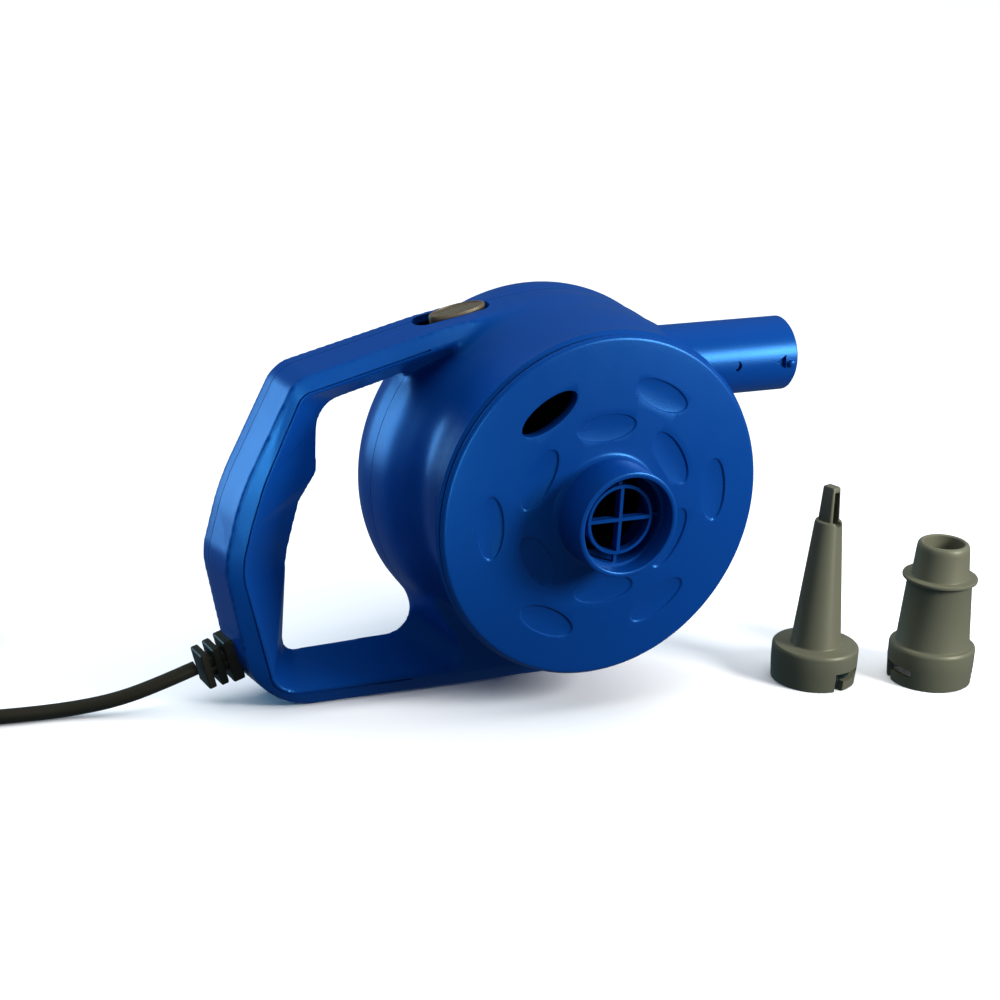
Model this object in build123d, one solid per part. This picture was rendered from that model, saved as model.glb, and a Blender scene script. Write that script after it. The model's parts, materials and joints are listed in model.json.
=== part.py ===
from build123d import *
import os
from math import cos, pi, radians, sin, tan

# Hand-held electric air mattress pump: D-handle housing, fan motor, cord and two loose nozzles.
#
# Most pieces are drawn in the pump's own drawing frame: X along the pump towards the outlet,
# Y up, Z forward along the rotor's axis. Z = 0 is the seam between the two housing halves.
# The last step turns and moves everything into the part's frame: +Z up, front facing -Y.

# ---- Driving dimensions, in millimetres ----
WALL = 2.4
FACE_Z = 50.0
COVER_THICK = 2.4
COVER_R = 60.0
RIM_R = 61.2
REAR_END_Z = -54.0

# Scroll-shaped front body: depth in front of the seam, radius, and how far the circle's
# centre leans towards the outlet's corner.
SCROLL_ANGLE = 60
FRONT_SECTIONS = [(0, 62.6, 0), (8, 62.0, 0.8), (16, 59.8, 2.6), (25, 57.4, 5.2),
                  (34, 57.8, 4.4), (42, 59.6, 1.6), (FACE_Z - COVER_THICK, RIM_R, 0)]
REAR_SECTIONS = [(0, 62.6, 0), (-6, 63.0, 0), (-12, 61.8, 0), (-18, 58.6, 0), (-25, 53.4, 0),
                 (-32, 47.6, 0), (-39, 42.4, 0), (-46, 38.0, 0), (REAR_END_Z, 34.0, 0)]

# Handle: corners (x, y, corner radius) of its outer edge, of the crest round the finger
# opening, and of the narrowest line of the opening, which lies on the seam.
HANDLE_OUTER = [(-14, 61.2, 1), (-48, 54.8, 60), (-97.6, 42.2, 13), (-116.6, 3, 70),
                (-121.6, -21, 16), (-107.6, -75, 14), (24, -75, 20), (40, -44, 5), (0, 40, 5)]
OPENING_RIDGE = [(-40, 40, 2), (-84.6, 28.2, 7), (-83.6, 4.4, 1.5), (-89.5, -5.5, 12),
                 (-93.4, -24, 25), (-93.5, -59.4, 8), (-38, -57.2, 8), (-44, -38, 3)]
OPENING_CREST = [(-40, 50.2, 2), (-95.2, 36, 5), (-107.2, 6.5, 40), (-111, -8, 40),
                 (-114, -22.5, 22), (-99.8, -68.6, 9), (-26, -68.6, 6), (-42, -44, 3)]
SIDE_FRONT = 9.0
SIDE_REAR = 5.0
CREST_FRONT = 14.5
CREST_REAR = 11.0
BEVEL_IN = 6.5
REAR_CREST_MIX = 0.7

TUBE_R = 12.75
TUBE_BORE_R = 10.9
TUBE_Y = 44.0
TUBE_Z = 34.0
TUBE_END_X = 75.0
PEG_R = 1.3
PEG_HEIGHT = 1.5

COLLAR_R = 18.6
COLLAR_BORE_R = 16.6
COLLAR_LENGTH = 18.2
GUARD_R = 15.5
GUARD_DEPTH = 6.0
GUARD_THICK = 3.0
GUARD_RING_R = 12.2
OVAL_LENGTH = 23.0
OVAL_WIDTH = 9.6
OVAL_DEPTH = 0.9
OVAL_RINGS = [(42.6, 3.5), (28.9, 33.5)]
OPEN_OVAL_ANGLE = 123.5

SHAFT_R = 2.0
RUNNING_GAP = 0.05
IMPELLER_R = 43.0
STATOR_FRONT_Z = -8.0
STATOR_REAR_Z = -28.0
PLATE_FRONT_Z = 13.2
PLATE_THICK = 2.4

BODY_SCREW_R = 57.0
BODY_SCREW_ANGLES = [0, 80, 190, 275]
HANDLE_SCREWS = [(-92.5, 35.0), (-106.5, -20.0), (-66.0, -67.5)]

SLOT_CENTRE = (-36.0, 57.0)
SLOT_ANGLE = 10.7
SLOT_LENGTH = 28.5
SLOT_WIDTH = 9.5
KNOB_LENGTH = 22.0
KNOB_WIDTH = 8.6
SWITCH_TRAVEL = 6.0
SWITCH_LENGTH = 20.0
SWITCH_Y = -7.9

CORD_D = 5.0
RELIEF_ROOT = (-112.2, -57.5)
RELIEF_ANGLE = 198.0
RELIEF_LENGTH = 13.0
CORD_END_START = -5.7
CORD_END_LENGTH = 7.0
CLAMP_SCREW_R = 1.1
LEAD_R = 0.8
FLOOR_Y = -75.0
COIL_CENTRE = (-252.0, -42.0)
COIL_MIDDLE_R = 27.5
COIL_THICK = 15.0
COIL_HEIGHT = 13.8
TIE_THICK = 0.9
PLUG_START = (-219.0, -69.4, -80.5)
PLUG_ANGLE = -8.0

NOZZLE_R = 15.5
NOZZLE_BORE_R = 12.95
NOZZLE_BORE_DEPTH = 12.0
PINCH_PLACE = (93.7, 47.9)
STEPPED_PLACE = (134.7, 61.6)
WINDOW_ANGLE = -73.0
PINCH_SLOT_ANGLES = (-85.0, 95.0)
STEPPED_SLOT_ANGLES = (163.0, -17.0)


# ---- Helpers ----
def outline(corners, z, grow=0.0):
    """A face at depth z with rounded corners, its edge moved outwards by grow."""
    count = len(corners)
    area = sum(corners[i - 1][0] * corners[i][1] - corners[i][0] * corners[i - 1][1]
               for i in range(count))
    side = 1 if area > 0 else -1
    points, radii = [], []
    for i in range(count):
        (ax, ay, _), (bx, by, radius) = corners[i - 1], corners[i]
        cx, cy, _ = corners[(i + 1) % count]
        before = Vector(bx - ax, by - ay).normalized()
        after = Vector(cx - bx, cy - by).normalized()
        turn = side * (before.X * after.Y - before.Y * after.X)
        out_a = Vector(before.Y, -before.X) * side
        out_b = Vector(after.Y, -after.X) * side
        move = (out_a + out_b) * (grow / (1 + out_a.dot(out_b)))
        points.append((bx + move.X, by + move.Y))
        radii.append(max(radius + (grow if turn > 0 else -grow), 0.4))
    edge = FilletPolyline(*points, radius=radii, close=True)
    return Pos(0, 0, z) * make_face(edge)


def mixed(first, second, share):
    """Corners that lie between two outlines of the same corner count."""
    return [tuple(a + (b - a) * share for a, b in zip(p, q)) for p, q in zip(first, second)]


def round_loft(sections, shrink=0.0):
    """A smooth solid through circles that lean towards the scroll's corner."""
    lean = radians(SCROLL_ANGLE)
    rings = [Pos(shift * cos(lean), shift * sin(lean), z) * Circle(radius - shrink)
             for z, radius, shift in sections]
    return loft(rings)


def cylinder(radius, start, end, x=0.0, y=0.0):
    """A cylinder along the rotor's axis direction."""
    return Pos(x, y, (start + end) / 2) * Cylinder(radius, abs(end - start))


def ring(outer, inner, start, end, x=0.0, y=0.0):
    return cylinder(outer, start, end, x, y) - cylinder(inner, start - 1, end + 1, x, y)


def block(x0, x1, y0, y1, z0, z1):
    size = abs(x1 - x0), abs(y1 - y0), abs(z1 - z0)
    return Pos((x0 + x1) / 2, (y0 + y1) / 2, (z0 + z1) / 2) * Box(*size)


def group(shapes):
    """Separate solids that share one node."""
    return Compound([shape.solid() for shape in shapes])


def polar(radius, degrees):
    return radius * cos(radians(degrees)), radius * sin(radians(degrees))


def handle_body(inset=0.0):
    """The D-shaped handle with bevelled outer edges, before the finger opening is cut."""
    front_side, rear_side = SIDE_FRONT - 0.4 * inset, -SIDE_REAR + 0.4 * inset
    front_top, rear_top = CREST_FRONT - inset, -CREST_REAR + inset
    middle = extrude(outline(HANDLE_OUTER, rear_side, -inset), front_side - rear_side)
    front = loft([outline(HANDLE_OUTER, front_side, -inset),
                  outline(HANDLE_OUTER, front_top, -BEVEL_IN - 0.6 * inset)], ruled=True)
    rear = loft([outline(HANDLE_OUTER, rear_side, -inset),
                 outline(HANDLE_OUTER, rear_top, -BEVEL_IN - 0.6 * inset)], ruled=True)
    return middle + front + rear


def finger_opening(inset=0.0):
    """The sloping-sided opening, narrowest on the seam."""
    rear_crest = mixed(OPENING_RIDGE, OPENING_CREST, REAR_CREST_MIX)
    ridge = outline(OPENING_RIDGE, 0, inset)
    front = loft([ridge, outline(OPENING_CREST, CREST_FRONT, inset)], ruled=True)
    rear = loft([ridge, outline(rear_crest, -CREST_REAR, inset)], ruled=True)
    return front + rear


def stadium(length, width, height, angle=0.0):
    """A flat-ended bar with round ends, centred, its height along Z."""
    flat = SlotOverall(length, width, rotation=angle)
    return Pos(0, 0, -height / 2) * extrude(flat, height)


def tube_along(points, radii, radius):
    """A round tube whose centre line is straight runs joined by arcs."""
    path = FilletPolyline(*points, radius=radii)
    start = Plane(origin=path @ 0, z_dir=path % 0)
    return sweep(start * Circle(radius), path=path)


def screw(length, shank_r, head_r, head_height):
    """A pan-head screw that points along +Z, its head below z = 0."""
    slot = block(-head_r, head_r, -0.4, 0.4, -head_height - 1, 1 - head_height)
    return cylinder(head_r, -head_height, 0) - slot + cylinder(shank_r, 0, length)


# ---- Housing ----
def outlet_tube(radius, start_x):
    length = TUBE_END_X - start_x
    return Pos(start_x + length / 2, TUBE_Y, TUBE_Z) * Rot(0, 90, 0) * Cylinder(radius, length)


def along_top(x, y, z):
    """Place something in the switch's frame: X along the slide, Y outwards, Z forward."""
    return Pos(*SLOT_CENTRE, 0) * Rot(0, 0, SLOT_ANGLE) * Pos(x, y, z)


def slot_bar(length, width, low, high):
    """A stadium bar that stands out of the top of the handle."""
    bar = stadium(length, width, high - low)
    return along_top(0, (low + high) / 2, 0) * Rot(90, 0, 0) * bar


def relief_frame():
    return Pos(*RELIEF_ROOT, 0) * Rot(0, 0, RELIEF_ANGLE)


def relief_bar(width, height, start, end):
    """A square bar along the cord's way out of the housing."""
    return relief_frame() * Pos((start + end) / 2, 0, 0) * Box(end - start, height, width)


def body_screw_places():
    return [polar(BODY_SCREW_R, angle) for angle in BODY_SCREW_ANGLES]


def housing_shells():
    """The front and rear halves, hollow, with bosses for the screws that join them."""
    handle_skin = handle_body() - finger_opening()
    handle_room = handle_body(WALL) - finger_opening(WALL)
    front_space = block(-200, 200, -200, 200, 0, 200)
    rear_space = block(-200, 200, -200, 200, -200, 0)

    front_body = round_loft(FRONT_SECTIONS)
    rear_body = round_loft(REAR_SECTIONS)
    rear_body += cylinder(REAR_SECTIONS[-1][1] - 1.5, REAR_END_Z - 1.5, REAR_END_Z)
    front_room = round_loft(FRONT_SECTIONS, WALL)
    rear_room = round_loft(REAR_SECTIONS, WALL) - block(-99, 99, -99, 99, REAR_END_Z - 9, REAR_END_Z + WALL)

    front = front_body + (handle_skin & front_space) + outlet_tube(TUBE_R, 5)
    rear = rear_body + (handle_skin & rear_space)
    front_outside, rear_outside = front, rear
    front = front - front_room - (handle_room & front_space)
    rear = rear - rear_room - (handle_room & rear_space)

    for x, y in body_screw_places():
        front += cylinder(3.6, 0, 15, x, y) & front_outside
        rear += cylinder(4.8, -24, 0, x, y) & rear_outside
    for x, y in HANDLE_SCREWS:
        front += cylinder(3.4, 0, CREST_FRONT, x, y) & front_outside
        rear += cylinder(4.4, -CREST_REAR, 0, x, y) & rear_outside
    for x, y in clamp_screw_places():
        rear += cylinder(2.4, -CREST_REAR, 0, x, y) & rear_outside
    rear += ring(51.5, 49.5, -27, 9.4) & (rear_outside + cylinder(52, 0, 9.4))

    for x, y in body_screw_places():
        front -= cylinder(1.3, -1, 10, x, y)
        rear -= cylinder(1.7, -40, 1, x, y) + cylinder(3.3, -60, -12, x, y)
    for x, y in HANDLE_SCREWS:
        front -= cylinder(1.3, -1, 9, x, y)
        rear -= cylinder(1.7, -20, 1, x, y) + cylinder(3.3, -20, -6, x, y)

    for x, y in clamp_screw_places():
        rear -= cylinder(CLAMP_SCREW_R + 0.05, -6, 1, x, y)
    for route, radii in lead_routes():
        passage = tube_along(route, radii, LEAD_R + 0.4)
        front -= passage
        rear -= passage

    front -= outlet_tube(TUBE_BORE_R, 18)
    switch_slot = slot_bar(SLOT_LENGTH, SLOT_WIDTH, -5, 12)
    cord_hole = relief_bar(6.4, 6.4, -8, 6)
    front = front - switch_slot - cord_hole
    rear = rear - switch_slot - cord_hole

    for side in (-1, 1):
        root, top = TUBE_Z + side * (TUBE_R - 1), TUBE_Z + side * (TUBE_R + PEG_HEIGHT)
        front += cylinder(PEG_R, root, top, TUBE_END_X - 5, TUBE_Y)
    return front, rear - rear_vents()


def rear_vents():
    """Cooling slots in the rear: a fan of slots on the slope and five on the end."""
    on_slope = Pos(40, 0, -42) * Rot(0, 60, 0) * stadium(15, 3, 16)
    slots = [Rot(0, 0, 30 * step) * on_slope for step in range(12)]
    for row in (-2, -1, 0, 1, 2):
        slots.append(Pos(0, 9 * row, REAR_END_Z) * stadium(36 - 8 * abs(row), 3, 12))
    return slots


def front_cover():
    """The round front plate with its inlet collar and its rings of shallow ovals."""
    plate = cylinder(COVER_R, FACE_Z - COVER_THICK, FACE_Z)
    plate = fillet(plate.edges().group_by(Axis.Z)[-1], 1.6)
    plate += cylinder(COLLAR_R, FACE_Z - COVER_THICK, FACE_Z + COLLAR_LENGTH)
    base = plate.edges().filter_by(GeomType.CIRCLE).filter_by(
        lambda edge: abs(edge.radius - COLLAR_R) < 0.01 and abs(edge.center().Z - FACE_Z) < 0.01)
    plate = fillet(base, 2.0)
    plate -= cylinder(COLLAR_BORE_R, FACE_Z + COLLAR_LENGTH - GUARD_DEPTH, 100)
    plate -= cylinder(GUARD_R, 0, 100)
    for ring_radius, first_angle in OVAL_RINGS:
        for step in range(6):
            angle = first_angle + 60 * step
            depth = 9 if abs(angle - OPEN_OVAL_ANGLE) < 5 else OVAL_DEPTH
            x, y = polar(ring_radius, angle)
            oval = extrude(Rot(0, 0, angle + 90) * Ellipse(OVAL_LENGTH / 2, OVAL_WIDTH / 2), depth)
            plate -= Pos(x, y, FACE_Z - depth) * oval
    rim = plate.edges().filter_by(GeomType.CIRCLE).group_by(Axis.Z)[-1]
    return fillet(rim, 0.6)


def inlet_guard():
    """A cross and ring that keep fingers out of the inlet."""
    front_z = FACE_Z + COLLAR_LENGTH - GUARD_DEPTH
    back_z = front_z - GUARD_THICK
    strut_z = front_z - 1.6
    guard = ring(GUARD_RING_R, GUARD_RING_R - 1.1, back_z, front_z)
    guard += block(-GUARD_RING_R + 0.5, GUARD_RING_R - 0.5, -0.6, 0.6, back_z, front_z)
    guard += block(-0.6, 0.6, -GUARD_RING_R + 0.5, GUARD_RING_R - 0.5, back_z, front_z)
    guard += block(-GUARD_R, GUARD_R, -0.6, 0.6, back_z, strut_z)
    guard += block(-0.6, 0.6, -GUARD_R, GUARD_R, back_z, strut_z)
    return guard & cylinder(GUARD_R, back_z, front_z)


# ---- Fan side ----
def motor_plate():
    """The wall behind the impeller, which carries the motor and the front bearing."""
    back_z = PLATE_FRONT_Z - PLATE_THICK
    plate = cylinder(57.2, back_z, PLATE_FRONT_Z) + cylinder(8, 5.5, back_z)
    plate -= cylinder(5.5, 7, 12)
    plate -= cylinder(3.0, 0, 20)
    for x, y in body_screw_places():
        plate -= cylinder(4.0, 0, 20, x, y)
    for x, y in motor_screw_places():
        plate -= cylinder(1.45, 0, 20, x, y)
    return plate & round_loft(FRONT_SECTIONS, WALL + 0.15)


def impeller():
    """A backplate with nine backward-curved blades round a hub."""
    wheel = cylinder(IMPELLER_R, 16, 17.8) + cylinder(7, 16, 28)
    for step in range(9):
        start = Vector(9, 0)
        end = Vector(IMPELLER_R * 0.93, -IMPELLER_R * 0.33)
        curve = ThreePointArc(start, (27, 1.5), end)
        blade = extrude(trace(curve, 1.3), 18)
        wheel += Rot(0, 0, 40 * step) * Pos(0, 0, 17) * blade
    wheel &= cylinder(IMPELLER_R, 16, 22) + cylinder(30, 16, 36) + Pos(0, 0, 29) * Cone(IMPELLER_R, 30, 14)
    return wheel - cylinder(SHAFT_R, 0, 50)


def impeller_nut():
    nut = extrude(RegularPolygon(3.6, 6), 3.2)
    return Pos(0, 0, 28.6) * nut - cylinder(SHAFT_R, 20, 40)


# ---- Motor ----
def motor_screw_places():
    return [(side * 21.0, end * 21.0) for side in (-1, 1) for end in (-1, 1)]


def stator_core():
    core = extrude(RectangleRounded(50, 50, 5), STATOR_FRONT_Z - STATOR_REAR_Z)
    core = Pos(0, 0, STATOR_REAR_Z) * core - cylinder(14.2, -40, 0)
    for side in (-1, 1):
        core -= block(side * 19.5, side * 13.0, -11, 11, -40, 0)
    for x, y in motor_screw_places():
        core -= cylinder(1.8, -40, 0, x, y)
    return core


def field_coils():
    """Two coils that run through the core's side windows and stand out of its ends."""
    back_z, front_z = STATOR_REAR_Z - 4.5, STATOR_FRONT_Z + 4.0
    return group([block(side * 19.2, side * 14.6, -10.6, 10.6, back_z, front_z) for side in (-1, 1)])


def rotor_core():
    core = cylinder(13.9, STATOR_REAR_Z, STATOR_FRONT_Z) - cylinder(SHAFT_R, -60, 60)
    for step in range(12):
        core -= Rot(0, 0, 30 * step) * block(9, 15, -0.9, 0.9, -40, 0)
    return core


def rotor_windings():
    front = ring(12.2, SHAFT_R, STATOR_FRONT_Z, STATOR_FRONT_Z + 5)
    rear = ring(12.2, SHAFT_R, STATOR_REAR_Z - 5, STATOR_REAR_Z)
    front = fillet(front.edges().group_by(Axis.Z)[-1].sort_by(SortBy.RADIUS)[-1:], 2)
    rear = fillet(rear.edges().group_by(Axis.Z)[0].sort_by(SortBy.RADIUS)[-1:], 2)
    return group([front, rear])


def commutator():
    drum = ring(8, SHAFT_R, -42, -34)
    for step in range(24):
        drum -= Rot(0, 0, 15 * step) * block(7.2, 9, -0.2, 0.2, -50, -35)
    return drum


def cooling_fan():
    fan = cylinder(21, 0.6, 2.0) + cylinder(5, -2.5, 1.2)
    for step in range(8):
        fan += Rot(0, 0, 45 * step) * block(4, 20, -0.6, 0.6, -1.8, 1.0)
    return fan - cylinder(SHAFT_R, -9, 9)


def rear_bracket():
    bracket = extrude(RectangleRounded(50, 50, 5), 2.5)
    bracket = Pos(0, 0, -47.5) * bracket
    for side in (-1, 1):
        bracket -= block(-16, 16, side * 12, side * 30, -60, -40)
        bracket -= block(side * 26, side * 30, -12, 12, -60, -40)
    bracket += cylinder(7.5, -50.5, -45)
    bracket -= cylinder(5.5, -50, -44)
    bracket -= cylinder(3.0, -60, -40)
    for x, y in motor_screw_places():
        bracket -= cylinder(1.8, -60, 0, x, y)
    return bracket


def brush_holders():
    """Two square tubes that guide the brushes onto the commutator."""
    holders = []
    for side in (-1, 1):
        tube = block(side * 9, side * 23, -4, 4, -45, -34.5)
        holders.append(tube - block(side * 8, side * 22, -2.6, 2.6, -41, -35.8))
    return group(holders)


def brushes():
    return group([block(side * 8.05, side * 15, -2.5, 2.5, -40.9, -35.9) for side in (-1, 1)])


def brush_springs():
    """Coil springs that press the brushes inwards."""
    springs = []
    for side in (-1, 1):
        path = Helix(pitch=1.3, height=5.4, radius=1.7)
        wire = sweep(Plane(origin=path @ 0, z_dir=path % 0) * Circle(0.25), path=path)
        springs.append(Pos(side * 15.5, 0, -38.4) * Rot(0, 90 * side, 0) * wire)
    return group(springs)


def spaced_sleeves():
    """Sleeves on the motor's long screws, in front of and behind the core."""
    sleeves = []
    for x, y in motor_screw_places():
        sleeves.append(ring(3.1, 1.75, STATOR_FRONT_Z, PLATE_FRONT_Z - PLATE_THICK, x, y))
        sleeves.append(ring(3.1, 1.75, -45.0, STATOR_REAR_Z, x, y))
    return group(sleeves)


def motor_screws():
    one = screw(59.5, 1.45, 2.8, 1.6)
    return group([Pos(x, y, -47.5) * one for x, y in motor_screw_places()])


# ---- Electrical pieces ----
def switch_knob():
    """The oval slider, at the outlet end of its slot, with a stem into the switch."""
    shift = (SLOT_LENGTH - KNOB_LENGTH) / 2 - 0.25
    cap = stadium(KNOB_LENGTH, KNOB_WIDTH, 4.6)
    cap = fillet(cap.edges().group_by(Axis.Z)[-1], 1.0)
    cap -= Pos(0, 0, 2.2) * stadium(KNOB_LENGTH - 3, KNOB_WIDTH - 3, 0.8)
    cap += Pos(0, 0, -4.3) * Box(5, 3, 5)
    for x in range(-8, 9, 2):
        cap -= Pos(x, 0, 1.9) * Box(0.4, KNOB_WIDTH - 3.4, 0.4)
    return along_top(shift, -0.3, 0) * Rot(-90, 0, 0) * cap


def switch_body():
    """The slide switch under the slot, with a groove for the knob's stem."""
    case = along_top(0, SWITCH_Y, 0) * Box(SWITCH_LENGTH, 4.6, 8)
    groove = along_top(0, SWITCH_Y + 1.5, 0) * Box(SWITCH_TRAVEL + 7.5, 4, 3.8)
    return case - groove


def suppressor():
    return block(-44, -31, -18, 0, -13, -5)


def lead_routes():
    """Centre lines, with their corner radii, of the insulated wires inside the housing."""
    (out_x, out_y, _), (turn_x, turn_y, _) = relief_exit(CORD_END_START - CORD_END_LENGTH), relief_exit(-15)
    case_left = [along_top(x, SWITCH_Y, 0).position for x in (-SWITCH_LENGTH / 2 - 8, -SWITCH_LENGTH / 2)]
    case_right = [along_top(x, SWITCH_Y, 0).position for x in (SWITCH_LENGTH / 2, SWITCH_LENGTH / 2 + 6.8)]
    to_switch = [(out_x, out_y, 1.1), (turn_x, turn_y, 1.1), (-101.5, -41, 1.1), (-115, -20.5, 0),
                 (-95.5, 12, 0), (-85.5, 32.2, 0), *case_left]
    to_motor = [(out_x, out_y, -1.1), (turn_x, turn_y, -1.1), (-99, -60, -1.1), (-90, -65, 0),
                (-74, -61.9, 0), (-52, -62.2, 0), (-32, -60, -3), (-27, -46, -14), (-33, -24, -32),
                (-20, -12, -39), (-20, -4, -39)]
    from_switch = [*case_right, (-6, 44, -14), (4, 33, -30), (16, 18, -39), (16, 4, -39)]
    return [(to_switch, [1.6, 6, 8, 20, 8, 10]), (to_motor, [1.3, 3, 4, 20, 12, 8, 10, 8, 3]),
            (from_switch, [8, 12, 10, 4])]


def internal_leads():
    """Insulated wires from the cord's end to the switch and on to the motor's brushes."""
    return group([tube_along(route, radii, LEAD_R) for route, radii in lead_routes()])


# ---- Cord and plug ----
def strain_relief():
    """Three square plates on a core, and a flange that holds it inside the wall."""
    relief = relief_bar(8.4, 9, CORD_END_START, -3.1)
    relief += relief_bar(6.2, 6.2, -3.2, RELIEF_LENGTH - 0.5)
    relief += relief_bar(10.4, 15.6, 1.0, 4.0)
    relief += relief_bar(10.2, 14.0, 6.1, 8.5)
    relief += relief_bar(9.8, 13.2, 10.6, RELIEF_LENGTH)
    return relief


def cord_end():
    """The sheathed end of the cord, between the strain relief and the clamp."""
    middle = CORD_END_START - CORD_END_LENGTH / 2
    return relief_frame() * Pos(middle, 0, 0) * Rot(0, 90, 0) * Cylinder(CORD_D / 2, CORD_END_LENGTH)


def clamp_screw_places():
    middle = relief_frame() * Pos(-9.4, 0, 0)
    return [tuple((middle * Pos(0, side * 5.2, 0)).position)[:2] for side in (-1, 1)]


def cord_clamp():
    """A bar that holds the cord's end down on the rear half."""
    clamp = relief_frame() * Pos(-9.4, 0, CORD_D / 2 + 1.3) * Box(4, 15, 2.2)
    for x, y in clamp_screw_places():
        clamp -= cylinder(CLAMP_SCREW_R + 0.2, 0, 9, x, y)
    return clamp


def clamp_screws():
    one = Pos(0, 0, CORD_D / 2 + 2.4) * Rot(180, 0, 0) * screw(9, CLAMP_SCREW_R, 2.2, 1.3)
    return group([Pos(x, y, 0) * one for x, y in clamp_screw_places()])


def arc_radii(points):
    """For each corner of a route, 0.45 of the shorter run over the tangent of half the turn."""
    radii = []
    for a, b, c in zip(points, points[1:], points[2:]):
        before, after = Vector(*b) - Vector(*a), Vector(*c) - Vector(*b)
        half_turn = radians(before.get_angle(after)) / 2
        radii.append(0.45 * min(before.length, after.length) / tan(half_turn))
    return radii


def relief_exit(distance):
    """A point on the cord's line, a distance outside the housing."""
    angle = radians(RELIEF_ANGLE)
    return RELIEF_ROOT[0] + distance * cos(angle), RELIEF_ROOT[1] + distance * sin(angle), 0


def cord_route():
    rest = FLOOR_Y + CORD_D / 2
    return [relief_exit(RELIEF_LENGTH), relief_exit(RELIEF_LENGTH + 13), (-152, -70.0, -1.2),
            (-169, rest, -4.2), (-190, rest, -5.6), (-219, rest, -9.6),
            (COIL_CENTRE[0], rest, COIL_CENTRE[1] + COIL_MIDDLE_R + 5)]


def tail_route():
    rest = FLOOR_Y + CORD_D / 2
    return [(COIL_CENTRE[0] + 2, rest, COIL_CENTRE[1] - COIL_MIDDLE_R - 5), (-239, rest, -75.6),
            (-229.5, -70.6, -78), PLUG_START]


def cord_tube(route):
    radii = arc_radii(route)
    solid = tube_along(route, radii, CORD_D / 2)
    length = FilletPolyline(*route, radius=radii).length
    share = solid.volume / (pi * CORD_D ** 2 / 4 * length)
    print("cord radii", [round(radius, 1) for radius in radii], "length", round(length, 1),
          "volume over section times length", round(share, 4))
    return solid


def coil_frame(height):
    """On the floor at the coil's centre, Z up."""
    return Pos(COIL_CENTRE[0], FLOOR_Y + height, COIL_CENTRE[1]) * Rot(-90, 0, 0)


def cord_coil():
    """The outer shape of the coiled length: a ring with rounded edges."""
    bottom = TIE_THICK + 0.1
    section = RectangleRounded(COIL_THICK, COIL_HEIGHT, 2.4)
    section = Pos(COIL_MIDDLE_R, 0, bottom + COIL_HEIGHT / 2) * Rot(90, 0, 0) * section
    return coil_frame(0) * revolve(section, Axis.Z, 360)


def coil_tie():
    """A flat band round the turns."""
    outer = Box(COIL_THICK + 2.2, 5, COIL_HEIGHT + 2.2)
    band = outer - Box(COIL_THICK + 0.4, 9, COIL_HEIGHT + 0.4)
    return coil_frame(COIL_HEIGHT / 2 + 1.1) * Rot(0, 0, 160) * Pos(COIL_MIDDLE_R, 0, 0) * band


def plug_frame():
    """At the cord's entry to the plug: X towards the blades, Y up."""
    return Pos(*PLUG_START) * Rot(0, -PLUG_ANGLE, 0)


def plug_body():
    neck = plug_frame() * Pos(5, 0, 0) * Rot(0, 90, 0) * Cone(3.4, 4.8, 10)
    grip = extrude(RectangleRounded(11.2, 23, 4), 22)
    return neck + plug_frame() * Pos(9, 0, 0) * Rot(0, 90, 0) * Rot(0, 0, 90) * grip


def plug_blades():
    blades = []
    for side in (-1, 1):
        blade = Box(17.5, 6.3, 1.5) - Pos(5, 0, 0) * Cylinder(1.4, 5)
        blades.append(plug_frame() * Pos(31 + 8.75, 0, side * 6.35) * blade)
    return group(blades)


# ---- Nozzles, standing on the floor; drawn with Z up ----
def nozzle_skirt(height):
    skirt = cylinder(NOZZLE_R, 0, height)
    return fillet(skirt.edges().group_by(Axis.Z)[-1], 1.5)


def bayonet_slot(angle):
    """An L-shaped slot: up from the rim, then round to one side."""
    slot = Pos(NOZZLE_R, 0, 2.5) * Box(8, 4, 9)
    for step in range(1, 9):
        slot += Rot(0, 0, 5 * step) * Pos(NOZZLE_R, 0, 5.4) * Box(8, 3.2, 3.2)
    return Rot(0, 0, angle) * slot


def cone(low_r, high_r, low_z, high_z):
    return Pos(0, 0, (low_z + high_z) / 2) * Cone(low_r, high_r, high_z - low_z)


def pinch_nozzle():
    """Skirt, slim cone and a slotted blade tip that holds a pinch valve open."""
    body = nozzle_skirt(13.5) + cone(9.0, 4.6, 13.0, 60.0)
    body += cone(4.6, 3.4, 59.5, 72.5) & Box(20, 5.0, 200)
    body -= cylinder(NOZZLE_BORE_R, -1, NOZZLE_BORE_DEPTH)
    body -= cone(7.2, 2.9, 10.9, 60.0)
    body -= Pos(6, 0, 62.5) * Box(12, 3.4, 14)
    body -= Pos(6, 0, 55.5) * Rot(0, 90, 0) * Cylinder(1.7, 12)
    body = Rot(0, 0, WINDOW_ANGLE) * body
    for angle in PINCH_SLOT_ANGLES:
        body -= bayonet_slot(angle)
    return body


def stepped_nozzle():
    """Skirt, wide cone, a stop flange and a short spigot for larger valves."""
    body = nozzle_skirt(14) + cone(13.2, 11.4, 13.5, 37)
    body += cone(11.4, 13.4, 36.9, 38.3) + ring(13.4, 5, 38.2, 39.6)
    body += cone(10.4, 9.2, 39.5, 52)
    body -= cylinder(NOZZLE_BORE_R, -1, NOZZLE_BORE_DEPTH)
    body -= cone(11.2, 9.6, 10.9, 38.01)
    body -= cone(7.8, 7.3, 37.9, 53)
    for angle in STEPPED_SLOT_ANGLES:
        body -= bayonet_slot(angle)
    return body


# ---- Put every piece in its place and write it out ----
def housing_screws():
    body = [Pos(x, y, -12) * screw(20, 1.25, 3.0, 1.8) for x, y in body_screw_places()]
    handle = [Pos(x, y, -6) * screw(14, 1.25, 3.0, 1.8) for x, y in HANDLE_SCREWS]
    return group(body + handle)


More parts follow.
